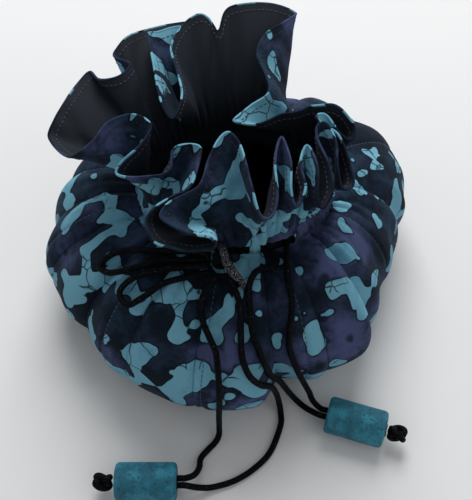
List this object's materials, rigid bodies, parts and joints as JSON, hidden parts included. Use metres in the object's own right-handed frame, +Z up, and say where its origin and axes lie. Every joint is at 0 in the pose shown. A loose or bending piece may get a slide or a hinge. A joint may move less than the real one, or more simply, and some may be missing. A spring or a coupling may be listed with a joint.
{
  "type": "drawstring pouch",
  "caption": "Round drawstring pouch of batik-like cotton with a dark lining, inner pockets, a ruffled frill, cord tails in a half bow and wooden beads.",
  "frame": {"origin": "under the middle of the flat base, on the surface that the pouch stands on, measured without the cords and beads", "axes": "+Z up out of the base, -Y the front with the bow and the cord tails, +X the pouch's right as seen in the picture"},
  "size_m": [0.1552, 0.1807, 0.1058],
  "materials": {
    "batik_cotton": "matt cotton with a dark blue and turquoise blotched pattern",
    "black_cotton": "matt black cotton",
    "cord_satin": "black satin cord",
    "speckled_bead": "matt teal paint with dark speckles"
  },
  "bodies": {
    "pouch": {"outer_fabric": "batik_cotton", "lining": "black_cotton", "pocket_ring": "black_cotton", "drawstring_left": "cord_satin", "drawstring_right": "cord_satin", "bow_knot": "cord_satin", "bow_loop_upper": "cord_satin", "bow_loop_lower": "cord_satin", "tail_left_a": "cord_satin", "tail_left_b": "cord_satin", "tail_right_c": "cord_satin", "tail_right_d": "cord_satin", "knot_left": "cord_satin", "knot_right": "cord_satin"},
    "bead_left": {"bead_left": "speckled_bead"},
    "bead_right": {"bead_right": "speckled_bead"}
  },
  "joints": [
    {"name": "bead_left_turn", "type": "hinge", "parent": "pouch", "child": "bead_left", "pos_m": [-0.033, -0.099, 0.0075], "axis": [1, 0, 0], "continuous": true},
    {"name": "bead_right_turn", "type": "hinge", "parent": "pouch", "child": "bead_right", "pos_m": [0.05048, -0.07451, 0.0075], "axis": [0.9563, -0.2924, 0], "continuous": true}
  ]
}
